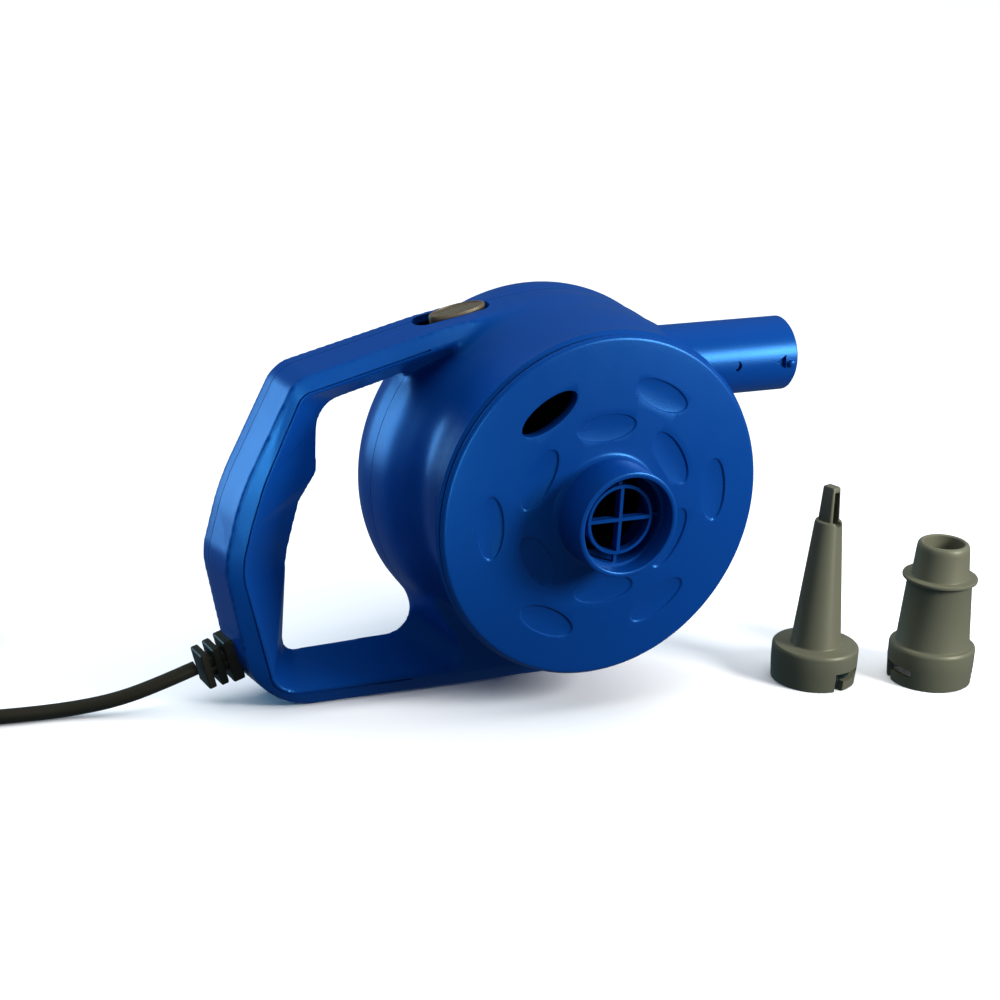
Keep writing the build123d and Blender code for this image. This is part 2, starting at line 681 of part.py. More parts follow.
def all_nodes():
    front_housing, rear_housing = housing_shells()
    pump = {
        "front_housing": front_housing,
        "rear_housing": rear_housing,
        "front_cover": front_cover(),
        "inlet_guard": inlet_guard(),
        "housing_screws": housing_screws(),
        "motor_plate": motor_plate(),
        "plate_gasket": ring(51.3, 49.7, 9.5, PLATE_FRONT_Z - PLATE_THICK),
        "front_bearing": ring(5.5, SHAFT_R + RUNNING_GAP, 7, 12),
        "rear_bearing": ring(5.5, SHAFT_R + RUNNING_GAP, -50, -45.5),
        "rotor_shaft": cylinder(SHAFT_R, -50.2, 38),
        "impeller": impeller(),
        "impeller_washer": ring(4.5, SHAFT_R, 28, 28.6),
        "impeller_nut": impeller_nut(),
        "cooling_fan": cooling_fan(),
        "rotor_core": rotor_core(),
        "rotor_windings": rotor_windings(),
        "commutator": commutator(),
        "stator_core": stator_core(),
        "field_coils": field_coils(),
        "rear_bracket": rear_bracket(),
        "motor_sleeves": spaced_sleeves(),
        "motor_screws": motor_screws(),
        "brush_holders": brush_holders(),
        "brushes": brushes(),
        "brush_springs": brush_springs(),
        "switch_knob": switch_knob(),
        "switch_body": switch_body(),
        "suppressor": suppressor(),
        "internal_leads": internal_leads(),
        "strain_relief": strain_relief(),
        "cord_end": cord_end(),
        "cord_clamp": cord_clamp(),
        "clamp_screws": clamp_screws(),
        "cord_lead": cord_tube(cord_route()),
        "cord_coil": cord_coil(),
        "coil_tie": coil_tie(),
        "cord_tail": cord_tube(tail_route()),
        "plug_body": plug_body(),
        "plug_blades": plug_blades(),
    }
    nodes = {name: Plane.XZ.location * shape for name, shape in pump.items()}
    nodes["pinch_nozzle"] = Pos(PINCH_PLACE[0], -PINCH_PLACE[1], FLOOR_Y) * pinch_nozzle()
    nodes["stepped_nozzle"] = Pos(STEPPED_PLACE[0], -STEPPED_PLACE[1], FLOOR_Y) * stepped_nozzle()
    return nodes


CORD_NODES = ["strain_relief", "cord_lead", "cord_coil", "coil_tie", "cord_tail", "plug_body", "plug_blades"]


def main():
    os.makedirs("parts", exist_ok=True)
    nodes = all_nodes()
    boxes = [shape.bounding_box() for name, shape in nodes.items() if name not in CORD_NODES]
    low = Vector(*(min(tuple(box.min)[i] for box in boxes) for i in range(3)))
    high = Vector(*(max(tuple(box.max)[i] for box in boxes) for i in range(3)))
    move = Pos(-(low.X + high.X) / 2, -(low.Y + high.Y) / 2, -low.Z)
    print("drawing origin lies at", move.position, "box", high - low)
    for name, shape in nodes.items():
        export_step(move * shape, f"parts/{name}.step")


if __name__ == "__main__":
    main()
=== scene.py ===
# %% [markdown]
# # A hand-held air pump
# The pump's pieces arrive as a fixed frame made elsewhere. This lesson dresses that frame: it
# hides the plain shells, builds soft-edged moulded ones in their place, and gives every piece
# that stays a fitting material. Everything is in metres, with +Z up and the inlet facing -Y.
# %% Load the fixed frame
import json
import math

import bmesh
import bpy
from mathutils import Matrix, Vector
from mathutils.bvhtree import BVHTree


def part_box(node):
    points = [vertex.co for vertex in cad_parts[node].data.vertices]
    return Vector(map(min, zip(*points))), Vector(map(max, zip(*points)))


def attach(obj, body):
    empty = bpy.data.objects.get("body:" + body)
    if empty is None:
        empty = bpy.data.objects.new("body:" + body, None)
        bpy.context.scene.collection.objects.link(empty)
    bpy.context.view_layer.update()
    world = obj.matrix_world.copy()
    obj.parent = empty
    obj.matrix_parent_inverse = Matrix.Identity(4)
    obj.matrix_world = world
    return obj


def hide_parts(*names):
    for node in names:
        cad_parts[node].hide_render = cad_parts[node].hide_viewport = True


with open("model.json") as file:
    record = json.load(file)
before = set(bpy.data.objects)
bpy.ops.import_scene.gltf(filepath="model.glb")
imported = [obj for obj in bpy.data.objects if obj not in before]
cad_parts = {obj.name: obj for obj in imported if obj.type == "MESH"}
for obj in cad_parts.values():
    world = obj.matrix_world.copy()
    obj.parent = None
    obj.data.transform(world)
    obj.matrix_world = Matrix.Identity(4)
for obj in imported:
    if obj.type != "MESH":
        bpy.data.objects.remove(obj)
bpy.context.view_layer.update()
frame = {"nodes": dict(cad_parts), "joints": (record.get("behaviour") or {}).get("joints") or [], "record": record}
nodes = frame["nodes"]
print("pieces in the frame:", len(nodes))

# %% [markdown]
# ## Where the pump's own axes lie
# The rotor turns about a line through the middle of the round front. That line is the natural
# place to measure a blower from, so each piece is drawn in millimetres as (x, up, forward) from
# the point where it crosses the seam, and one matrix puts the finished mesh in its place.
# %% The drawing axes
HUB = Vector(next(j["pos_m"] for j in frame["joints"] if j["name"] == "rotor_spin"))
PUMP = Matrix.Translation(HUB) @ Matrix.Rotation(math.pi / 2, 4, "X") @ Matrix.Scale(0.001, 4)
FLOOR_UP = -HUB.z * 1000


def spot(x, up, forward):
    """A place on the pump, from millimetres to metres in the frame."""
    return PUMP @ Vector((x, up, forward))


print("hub at", HUB[:], "floor", round(FLOOR_UP, 2))

# %% [markdown]
# ## Camera
# A three-quarter view from the handle's side, a little above. A short lens would swell whatever
# is near, so a long one looks from far off and keeps the round face nearly a true ellipse. The
# camera is built from three directions instead of being turned by angles. That way its small
# lean to one side is only a mix of two of them.
# %% The camera
TURN, RISE, LEAN = (math.radians(angle) for angle in (-28.51, 19.26, 3.88))
AIM = spot(-39.3, 6.88, 50)
CAMERA_AWAY = 0.98672
sight = Vector((-math.sin(TURN) * math.cos(RISE), math.cos(TURN) * math.cos(RISE), -math.sin(RISE)))
level = Vector((math.cos(TURN), math.sin(TURN), 0))
upward = level.cross(sight)
right = math.cos(LEAN) * level + math.sin(LEAN) * upward
top = math.cos(LEAN) * upward - math.sin(LEAN) * level

camera_data = bpy.data.cameras.new("camera")
camera_data.lens = 108
camera_data.sensor_width = 36
camera_data.clip_start = 0.01
camera = bpy.data.objects.new("camera", camera_data)
camera.matrix_world = (Matrix.Translation(AIM - sight * CAMERA_AWAY)
                       @ Matrix((right, top, -sight)).transposed().to_4x4())
bpy.context.scene.collection.objects.link(camera)
bpy.context.scene.camera = camera
bpy.context.scene.view_settings.view_transform = "Standard"
print("camera at", [round(value, 3) for value in camera.matrix_world.translation])

# %% [markdown]
# ## Finishes
# Moulded plastic is never one flat colour: the mould leaves a fine grain that breaks up the
# gloss, and the pigment drifts slightly. A painted texture could hold this, but it would need
# an unwrapped surface. Noise read from the object's own coordinates needs none, so each finish
# here is one small node tree: a broad noise drifts the colour, a middle one varies the gloss
# and a very fine one raises the grain.
# %% A maker of grained finishes
DRIFT_SCALE, GLOSS_SCALE = 14, 90


def grained(name, colour, roughness, grain_size, grain_depth, drift=0.06, metallic=0.0,
            specular=0.5, glint=(1, 1, 1)):
    """A finish with colour drift, uneven gloss and a fine grain; sizes are in metres."""
    material = bpy.data.materials.new(name)
    material.use_nodes = True
    tree = material.node_tree
    shader = tree.nodes["Principled BSDF"]
    shader.inputs["Metallic"].default_value = metallic
    shader.inputs["Specular IOR Level"].default_value = specular
    shader.inputs["Specular Tint"].default_value = (*glint, 1)
    place = tree.nodes.new("ShaderNodeTexCoord")

    def noise(scale, detail):
        node = tree.nodes.new("ShaderNodeTexNoise")
        node.inputs["Scale"].default_value = scale
        node.inputs["Detail"].default_value = detail
        tree.links.new(place.outputs["Object"], node.inputs["Vector"])
        return node

    broad = noise(DRIFT_SCALE, 2)
    tint = tree.nodes.new("ShaderNodeMapRange")
    tint.inputs["To Min"].default_value = 1 - drift
    tint.inputs["To Max"].default_value = 1 + drift
    tree.links.new(broad.outputs["Fac"], tint.inputs["Value"])
    paint = tree.nodes.new("ShaderNodeVectorMath")
    paint.operation = "SCALE"
    paint.inputs[0].default_value = colour
    tree.links.new(tint.outputs["Result"], paint.inputs["Scale"])
    tree.links.new(paint.outputs["Vector"], shader.inputs["Base Color"])

    middle = noise(GLOSS_SCALE, 3)
    gloss = tree.nodes.new("ShaderNodeMapRange")
    gloss.inputs["To Min"].default_value = roughness * 0.9
    gloss.inputs["To Max"].default_value = roughness * 1.12
    tree.links.new(middle.outputs["Fac"], gloss.inputs["Value"])
    tree.links.new(gloss.outputs["Result"], shader.inputs["Roughness"])

    grain = noise(1 / grain_size, 2)
    bump = tree.nodes.new("ShaderNodeBump")
    bump.inputs["Strength"].default_value = 1.0
    bump.inputs["Distance"].default_value = grain_depth
    tree.links.new(grain.outputs["Fac"], bump.inputs["Height"])
    tree.links.new(bump.outputs["Normal"], shader.inputs["Normal"])
    return material


# %% The finishes, by the frame's own slots
finishes = {
    "blue_plastic": grained("blue moulded plastic", (0.0012, 0.038, 0.21), 0.34, 0.0006, 0.00003,
                             specular=0.8, glint=(0.06, 0.42, 1.0)),
    "nozzle_plastic": grained("nozzle plastic", (0.1, 0.1, 0.066), 0.45, 0.0007, 0.00002,
                               specular=0.4, glint=(1, 1, 0.75)),
    "knob_plastic": grained("switch plastic", (0.1, 0.078, 0.05), 0.4, 0.0005, 0.00002,
                            glint=(1, 0.9, 0.65)),
    "black_plastic": grained("black moulded plastic", (0.012, 0.012, 0.013), 0.42, 0.0006, 0.00002),
    "cord_jacket": grained("cord jacket", (0.016, 0.0145, 0.0095), 0.45, 0.0008, 0.00002,
                            specular=0.35, glint=(1, 0.92, 0.7)),
    "steel": grained("plated steel", (0.6, 0.6, 0.62), 0.3, 0.0009, 0.00001, 0.04, 1.0),
    "core_steel": grained("stacked sheet steel", (0.2, 0.2, 0.22), 0.5, 0.0007, 0.00005, 0.1, 1.0),
    "copper": grained("enamelled copper", (0.65, 0.25, 0.1), 0.35, 0.0006, 0.00004, 0.1, 1.0),
    "brass": grained("brass", (0.72, 0.55, 0.26), 0.28, 0.0009, 0.00001, 0.05, 1.0),
    "carbon": grained("pressed carbon", (0.02, 0.02, 0.02), 0.7, 0.0005, 0.00004),
    "foam": grained("foam", (0.03, 0.03, 0.03), 0.9, 0.0008, 0.0002),
    "white_plastic": grained("white moulded plastic", (0.7, 0.7, 0.66), 0.45, 0.0006, 0.00002),
}
for part in frame["record"]["subparts"]:
    mesh = nodes[part["node"]].data
    mesh.materials.clear()
    mesh.materials.append(finishes[part["material_slot"]])
print("finishes:", len(finishes))

# %% [markdown]
# ## Small tools for closed shapes
# Nearly everything here is either turned on a lathe or stacked from outlines with rounded
# corners. Two helpers cover both, as a spin and as loops that are bridged. A third cuts one
# closed shape with another through the boolean modifier, as a drill or a saw does. Openings
# could also be modelled face by face, but a cut gives each one real walls with little code.
# %% Lathe, stack and cut
MERGE_NEAR = 1e-5


def link_mesh(name, bm):
    """A new object from a bmesh, with its faces outwards."""
    bmesh.ops.remove_doubles(bm, verts=bm.verts, dist=MERGE_NEAR)
    bmesh.ops.recalc_face_normals(bm, faces=bm.faces)
    mesh = bpy.data.meshes.new(name)
    bm.to_mesh(mesh)
    bm.free()
    piece = bpy.data.objects.new(name, mesh)
    bpy.context.scene.collection.objects.link(piece)
    return piece


def lathe(name, profile, steps=96, closed=False):
    """Spin (radius, forward) points about the forward axis."""
    bm = bmesh.new()
    verts = [bm.verts.new((radius, 0, forward)) for radius, forward in profile]
    pairs = list(zip(verts, verts[1:]))
    if closed:
        pairs.append((verts[-1], verts[0]))
    edges = [bm.edges.new(pair) for pair in pairs]
    bmesh.ops.spin(bm, geom=verts + edges, cent=(0, 0, 0), axis=(0, 0, 1), angle=math.tau,
                   steps=steps, use_merge=True, use_duplicate=False)
    return link_mesh(name, bm)


def oblong(half_wide, half_high, radius):
    """A centred rectangle, each corner with its radius."""
    return [(-half_wide, -half_high, radius), (half_wide, -half_high, radius),
            (half_wide, half_high, radius), (-half_wide, half_high, radius)]


def grown(corners, grow):
    """The same outline with its edge moved outwards."""
    count = len(corners)
    turned = sum(corners[i - 1][0] * corners[i][1] - corners[i][0] * corners[i - 1][1]
                 for i in range(count))
    side = math.copysign(1, turned)
    moved = []
    for i, (x, up, radius) in enumerate(corners):
        before = (Vector((x, up)) - Vector(corners[i - 1][:2])).normalized()
        after = (Vector(corners[(i + 1) % count][:2]) - Vector((x, up))).normalized()
        out_a, out_b = (Vector((edge.y, -edge.x)) * side for edge in (before, after))
        shift = (out_a + out_b) * (grow / (1 + out_a.dot(out_b)))
        outward = side * before.cross(after) > 0
        moved.append((x + shift.x, up + shift.y, max(radius + (grow if outward else -grow), 0.4)))
    return moved


def rounded_loop(bm, corners, forward, segments):
    """A face with rounded corners at one depth."""
    verts = [bm.verts.new((x, up, forward)) for x, up, _ in corners]
    bm.faces.new(verts)
    count = len(corners)
    for i, vert in enumerate(verts):
        x, up, radius = corners[i]
        before = Vector((x, up)) - Vector(corners[i - 1][:2])
        after = Vector(corners[(i + 1) % count][:2]) - Vector((x, up))
        reach = radius * math.tan(before.angle(after) / 2)
        if reach > 0.01:
            bmesh.ops.bevel(bm, geom=[vert], offset=reach, offset_type="OFFSET", segments=segments,
                            profile=0.5, affect="VERTICES", material=-1, clamp_overlap=False)
    return min(bm.faces, key=lambda face: abs(face.calc_center_median().z - forward))


def stack(name, sections, segments=8):
    """A closed shape through outlines with rounded corners, each (corners, forward)."""
    bm = bmesh.new()
    faces = [rounded_loop(bm, corners, forward, segments) for corners, forward in sections]
    for back, front in zip(faces, faces[1:]):
        bmesh.ops.bridge_loops(bm, edges=list(back.edges) + list(front.edges))
    bmesh.ops.delete(bm, geom=faces[1:-1], context="FACES_ONLY")
    return link_mesh(name, bm)


def drop(piece):
    """Remove a piece that was only a tool."""
    bpy.data.objects.remove(piece)


def baked(piece):
    """Apply a piece's modifiers."""
    bpy.context.view_layer.update()
    evaluated = piece.evaluated_get(bpy.context.evaluated_depsgraph_get())
    mesh = bpy.data.meshes.new_from_object(evaluated)
    piece.modifiers.clear()
    piece.data = mesh
    return piece


def cut(piece, tool, operation="DIFFERENCE"):
    """Cut a piece with a tool, or keep what the two share, and drop the tool."""
    boolean = piece.modifiers.new("cut", "BOOLEAN")
    boolean.operation = operation
    boolean.object = tool
    boolean.solver = "MANIFOLD"
    baked(piece)
    drop(tool)
    return piece


def placed(piece, matrix=PUMP):
    """Move a piece's mesh from its drawing to its place in the frame."""
    piece.data.transform(matrix)
    return piece


def dress(piece, finish, body, *stands_for, sharp=32):
    """Give a finished piece its finish, its shading, its body and the nodes it stands for."""
    mesh = piece.data
    mesh.materials.clear()
    mesh.materials.append(finishes[finish])
    mesh.shade_smooth()
    mesh.set_sharp_from_angle(angle=math.radians(sharp))
    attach(piece, body)
    if stands_for:
        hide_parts(*stands_for)
    print(piece.name, "faces", len(mesh.polygons))
    return piece


# %% [markdown]
# ## The cord
# A mains lead leaves the back of the handle, drops to the floor and runs to a neat coil. A tube
# could be built along the line by hand, but a curve with a round bevel stays smooth wherever it
# bends, so the cord is one spline. The coil's turns lie in eight lanes, three below, two between
# and three on top, and the lead moves from lane to lane as it goes round.
# %% The cord's line
CORD_WIDE = 5.0
REST_UP = FLOOR_UP + CORD_WIDE / 2
RELIEF_ROOT = (-112.2, -57.5)
RELIEF_TURN = math.radians(198)


def along_relief(distance):
    """A point on the cord's way out of the handle."""
    return (RELIEF_ROOT[0] + distance * math.cos(RELIEF_TURN),
            RELIEF_ROOT[1] + distance * math.sin(RELIEF_TURN), 0)


CORD_EXIT = along_relief(13)
lead = [CORD_EXIT, along_relief(26), (-152, -70.0, -1.2), (-169, REST_UP, -4.2),
        (-190, REST_UP, -5.6), (-219, REST_UP, -9.6)]

# %% Its coil, a radius and a layer for each lane
COIL_MIDDLE = (-252.0, -42.0)
LANES = [(27.5, 0), (22.5, 0), (25, 1), (22.5, 2), (27.5, 2), (32.5, 2), (30, 1), (32.5, 0)]
LANE_RISE = 4.33
COIL_TURNS, POINTS_A_TURN = 7.5, 24
QUARTER = 0.25
turns = []
for step in range(int(POINTS_A_TURN * COIL_TURNS) + 1):
    turned = step / POINTS_A_TURN
    angle = math.pi / 2 + math.tau * turned
    passed = min(max(turned - QUARTER, 0), len(LANES) - 1)
    lane, share = int(passed), passed % 1
    share = min(max((share - QUARTER) * 2, 0), 1)
    share = share * share * (3 - 2 * share)
    here, there = LANES[lane], LANES[min(lane + 1, len(LANES) - 1)]
    radius = here[0] + (there[0] - here[0]) * share
    layer = here[1] + (there[1] - here[1]) * share
    if turned < QUARTER:
        radius += CORD_WIDE * (1 - turned / QUARTER) ** 2
    raised = min(turned / QUARTER, 1, (COIL_TURNS - turned) / QUARTER)
    turns.append((COIL_MIDDLE[0] + radius * math.cos(angle),
                  REST_UP + max(raised, 0) + layer * LANE_RISE,
                  COIL_MIDDLE[1] + radius * math.sin(angle)))
print("coil points:", len(turns))

# %% One spline through lead, coil and tail
PLUG_SPOT = (-219.0, -69.4, -80.5)
tail = [(-239, REST_UP, -75.6), (-229.5, -70.6, -78), PLUG_SPOT]
line = [spot(*point) for point in lead + turns + tail]

cord_data = bpy.data.curves.new("cord", "CURVE")
cord_data.dimensions = "3D"
spline = cord_data.splines.new("NURBS")
spline.points.add(len(line) - 1)
for point, place in zip(spline.points, line):
    point.co = (*place, 1)
spline.order_u = 3
spline.use_endpoint_u = True
cord_data.resolution_u = 6
cord_data.bevel_depth = CORD_WIDE / 2000
cord_data.bevel_resolution = 6
cord_data.use_fill_caps = True
cord_data.materials.append(finishes["cord_jacket"])
cord = bpy.data.objects.new("cord", cord_data)
bpy.context.scene.collection.objects.link(cord)
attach(cord, "pump_body")
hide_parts("cord_lead", "cord_coil", "cord_tail")
print("cord runs add up to", round(sum((b - a).length for a, b in zip(line, line[1:])), 3), "m")

# %% [markdown]
# ## The housing
# The pump's body is a blower scroll that flares from a waist to a round lip, with a D-shaped
# handle grown out of its side. Drawn as separate shapes these would meet in hard creases, but a
# moulding flows from one to the other. So the shapes are joined into one skin by a voxel remesh,
# and the skin is relaxed only near where the handle meets the body.
# %% Sections of the body, each (forward, radius, lean)
FACE, REAR = 50.0, -55.5
COVER_THICK = 2.4
COVER_SEAT = FACE - COVER_THICK
WALL = 2.4
LEAN_TURN = math.radians(60)
SECTIONS = [(REAR, 32.5, 0), (-54, 34.0, 0), (-46, 38.0, 0), (-39, 42.4, 0), (-32, 47.6, 0),
            (-25, 53.4, 0), (-18, 58.6, 0), (-12, 61.8, 0), (-6, 63.0, 0), (0, 62.6, 0),
            (8, 62.0, 0.8), (16, 59.8, 2.6), (25, 57.4, 5.2), (34, 57.8, 4.4), (42, 59.6, 1.6),
            (COVER_SEAT, 61.2, 0)]


def flowing(points, pieces=5):
    """A smooth line of points that passes through each given one."""
    result = []
    for i in range(len(points) - 1):
        a, b, c, d = (points[min(max(i + k, 0), len(points) - 1)] for k in (-1, 0, 1, 2))
        for piece in range(pieces):
            t = piece / pieces
            result.append(tuple(
                q + 0.5 * t * (r - p + t * (2 * p - 5 * q + 4 * r - s + t * (3 * (q - r) + s - p)))
                for p, q, r, s in zip(a, b, c, d)))
    return result + [points[-1]]


smooth_sections = flowing(SECTIONS)
print("body sections:", len(smooth_sections))


def section_at(forward):
    """The body's radius and lean at a depth."""
    for (za, ra, la), (zb, rb, lb) in zip(smooth_sections, smooth_sections[1:]):
        if forward <= zb:
            share = min(max((forward - za) / (zb - za), 0), 1)
            return ra + (rb - ra) * share, la + (lb - la) * share
    return smooth_sections[-1][1:]


def round_body(name, inset, back, front, steps=144):
    """The flaring body as a closed shape, its skin moved inwards by inset."""
    profile = [(0, back), (section_at(back)[0] - inset, back)]
    profile += [(radius - inset, forward) for forward, radius, _ in smooth_sections
                if back < forward < front]
    profile += [(section_at(front)[0] - inset, front), (0, front)]
    body = lathe(name, profile, steps)
    for vert in body.data.vertices:
        lean = section_at(vert.co.z)[1]
        vert.co.x += lean * math.cos(LEAN_TURN)
        vert.co.y += lean * math.sin(LEAN_TURN)
    return body


# %% Outlines of the handle, each corner (x, up, radius)
HANDLE_OUTER = [(-14, 61.6, 1), (-48, 55.2, 60), (-98.6, 42.4, 11), (-116.6, 3, 70),
                (-121.8, -21.3, 22), (-107.6, -75, 28), (24, -75, 20), (40, -44, 5), (0, 40, 5)]
HANDLE_SHOULDER = [(-14, 61.2, 1), (-48, 54.8, 60), (-98.2, 41.9, 10), (-116.1, 3, 70),
                   (-120.6, -21.2, 22), (-106.6, -74.6, 26), (24, -74.6, 20), (39.5, -44, 5),
                   (0, 40, 5)]
HANDLE_BROW = [(-14, 56.0, 1), (-48, 49.6, 60), (-96.0, 37.0, 8), (-108.4, 5.5, 60),
               (-115.2, -22, 22), (-101.0, -69.8, 14), (24, -69.8, 14), (34, -44, 5), (0, 38, 5)]
OPENING_RIDGE = [(-40, 40, 2), (-84.0, 28.2, 10), (-83.0, 4.4, 1.5), (-88.9, -5.5, 12),
                 (-92.8, -24, 25), (-92.9, -59.4, 5), (-41.5, -57.6, 9), (-50, -36, 8)]
OPENING_CREST = [(-40, 50.2, 2), (-95.2, 36, 5), (-107.2, 6.5, 40), (-111, -8, 40),
                 (-114, -22.5, 22), (-99.8, -68.6, 9), (-26, -68.6, 6), (-42, -44, 3)]
SHOULDER_FRONT, SIDE_REAR = 12.8, 5.0
CREST_FRONT, CREST_REAR = 14.5, 11.0
BEVEL_IN = 6.5
OVERRUN = 9


def handle_block(name, inset):
    """The handle as a solid block, its skin moved inwards by inset."""
    edge, shoulder, brow = (grown(corners, -inset)
                            for corners in (HANDLE_OUTER, HANDLE_SHOULDER, HANDLE_BROW))
    rear = grown(HANDLE_OUTER, -BEVEL_IN - 0.6 * inset)
    return stack(name, [(rear, -CREST_REAR + inset), (edge, -SIDE_REAR + 0.4 * inset),
                        (edge, 1.0), (shoulder, SHOULDER_FRONT - 0.4 * inset),
                        (brow, CREST_FRONT - inset)])


def finger_tool(inset):
    """The sloping-sided opening as a cutting tool that runs out past both faces."""
    rear = [tuple(a + (b - a) * 0.7 for a, b in zip(ridge, crest))
            for ridge, crest in zip(OPENING_RIDGE, OPENING_CREST)]
    ridge, front, rear = (grown(corners, inset)
                          for corners in (OPENING_RIDGE, OPENING_CREST, rear))
    return stack("finger tool", [(rear, -CREST_REAR - OVERRUN), (rear, -CREST_REAR), (ridge, 0),
                                 (front, CREST_FRONT), (front, CREST_FRONT + OVERRUN)])


print("handle outline corners:", len(HANDLE_OUTER), "and opening corners:", len(OPENING_CREST))


# %% One skin from body and handle
VOXEL = 0.8
handle = cut(handle_block("handle", 0), finger_tool(0))
body = round_body("body", 0, REAR, COVER_SEAT)
handle_tree = BVHTree.FromObject(handle, bpy.context.evaluated_depsgraph_get())
joined = bmesh.new()
joined.from_mesh(body.data)
joined.from_mesh(handle.data)
drop(handle)
drop(body)
skin = bpy.data.objects.new("skin", bpy.data.meshes.new("skin"))
joined.to_mesh(skin.data)
joined.free()
bpy.context.scene.collection.objects.link(skin)
remesh = skin.modifiers.new("skin", "REMESH")
remesh.mode = "VOXEL"
remesh.voxel_size = VOXEL
baked(skin)
print("skin faces", len(skin.data.polygons))

# %% Relax the skin where the handle flows into the body
BLEND_REACH = 5.0
near_join = skin.vertex_groups.new(name="join")
for vert in skin.data.vertices:
    radius, lean = section_at(vert.co.z)
    off_axis = math.hypot(vert.co.x - lean * math.cos(LEAN_TURN),
                          vert.co.y - lean * math.sin(LEAN_TURN))
    away = abs(off_axis - radius)
    if away < BLEND_REACH:
        reach = handle_tree.find_nearest(vert.co)[3]
        if reach is not None and reach < BLEND_REACH:
            weight = min(1, 2 * (1 - max(away, reach) / BLEND_REACH))
            near_join.add([vert.index], weight, "REPLACE")
for group, times in (("join", 60), ("", 2)):
    relax = skin.modifiers.new("relax", "SMOOTH")
    relax.factor = 0.5
    relax.iterations = times
    relax.vertex_group = group
baked(skin)
print("skin relaxed")

# %% [markdown]
# ## Openings
# The skin is a solid lump until now. A Solidify modifier could give it a wall, but it folds over
# itself in tight corners, so a smaller solid is cut out of the inside instead. Then the inlet,
# the outlet, the switch's slot, the cooling slots and the screw holes are cut through. The edge
# that meets the front cover is trimmed to a clean cone, and a fine line is scored along the
# handle's crest.
# %% Drills and bars


def bar(name, length, width, low, high, matrix=None):
    """A bar with round ends."""
    corners = oblong(length / 2, width / 2, width / 2)
    piece = stack(name, [(corners, low), (corners, high)])
    if matrix is not None:
        piece.data.transform(matrix)
    return piece


def moved(x, up, forward):
    """A matrix that shifts."""
    return Matrix.Translation((x, up, forward))


def turned_about(axis, degrees):
    """A matrix that turns."""
    return Matrix.Rotation(math.radians(degrees), 4, axis)


def drill(radius, back, front, x=0, up=0):
    """A straight drill along the pump's axis."""
    hole = lathe("drill", [(0, back), (radius, back), (radius, front), (0, front)], 48)
    hole.data.transform(moved(x, up, 0))
    return hole


# %% Hollow it and open its front
INLET_R = 54
cut(skin, round_body("room", WALL, -53.0, COVER_SEAT - 2, 72))
cut(skin, cut(handle_block("handle room", WALL), finger_tool(WALL)))
cut(skin, drill(INLET_R, 43, FACE + 5))
margin_trim = [(59.5, COVER_SEAT + 0.5), (59.9, COVER_SEAT - 0.1), (61.6, COVER_SEAT - 1.8),
               (75, COVER_SEAT - 1.8), (75, COVER_SEAT + 6), (59.5, COVER_SEAT + 6)]
cut(skin, lathe("margin trim", margin_trim, 192, closed=True))
print("hollowed, faces", len(skin.data.polygons))

# %% The outlet, the switch's slot and the crest line
SWITCH_SPOT = moved(-36, 57, 0) @ turned_about("Z", 10.7)
SLOT_LONG, SLOT_WIDE = 28.5, 9.4
TUBE_UP, TUBE_FORWARD = 44.0, 34.0
TUBE_LINE = moved(0, TUBE_UP, TUBE_FORWARD) @ turned_about("Y", 90)
TUBE_R, TUBE_BORE_R, TUBE_END = 12.75, 10.9, 75.0
tube_way = drill(TUBE_BORE_R + 0.8, 18, 100)
tube_way.data.transform(TUBE_LINE)
cut(skin, tube_way)
slot_place = SWITCH_SPOT @ moved(-0.9, 0, 1.8) @ turned_about("X", -90)
cut(skin, bar("switch slot", SLOT_LONG, SLOT_WIDE, -5, 12, slot_place))
line_out, line_in = grown(OPENING_CREST, 1.5), grown(OPENING_CREST, 0.9)
crest_line = stack("crest line", [(line_out, 13.8), (line_out, 22)])
cut(crest_line, stack("inside", [(line_in, 12), (line_in, 24)]))
by_hand = [(-140, -90, 1), (-50, -90, 1), (-50, 90, 1), (-140, 90, 1)]
cut(crest_line, stack("by the hand", [(by_hand, 10), (by_hand, 30)]), "INTERSECT")
cut(skin, crest_line)
print("outlet, slot and crest line cut, faces", len(skin.data.polygons))

# %% Cooling slots and screw holes in the rear
VENT_WIDE = 3
SCREW_HOLE_R, SCREW_RING_R = 3.3, 57
for step in range(12):
    slope = turned_about("Z", 30 * step) @ moved(40, 0, -42) @ turned_about("Y", 60)
    cut(skin, bar("slope vent", 15, VENT_WIDE, -8, 8, slope))
for row in (-2, -1, 0, 1, 2):
    cut(skin, bar("end vent", 36 - 8 * abs(row), VENT_WIDE, -6, 6, moved(0, 9 * row, -54)))
BODY_SCREWS = [(SCREW_RING_R * math.cos(math.radians(a)),
                SCREW_RING_R * math.sin(math.radians(a)), -12) for a in (0, 80, 190, 275)]
HANDLE_SCREWS = [(-92.5, 35.0, -6), (-106.5, -20.0, -6), (-66.0, -67.5, -6)]
for x, up, depth in BODY_SCREWS + HANDLE_SCREWS:
    cut(skin, drill(SCREW_HOLE_R, -60, depth, x, up))
print("openings cut, faces", len(skin.data.polygons))

# %% Split it along the seam
SEAM_GAP = 0.12
slab = oblong(200, 200, 1)
rear_shell = bpy.data.objects.new("rear_shell", skin.data.copy())
bpy.context.scene.collection.objects.link(rear_shell)
front_shell = skin
front_shell.name = "front_shell"
cut(front_shell, stack("front half", [(slab, SEAM_GAP), (slab, 90)]), "INTERSECT")
cut(rear_shell, stack("rear half", [(slab, -90), (slab, -SEAM_GAP)]), "INTERSECT")
dress(placed(front_shell), "blue_plastic", "pump_body", "front_housing")
dress(placed(rear_shell), "blue_plastic", "pump_body", "rear_housing")

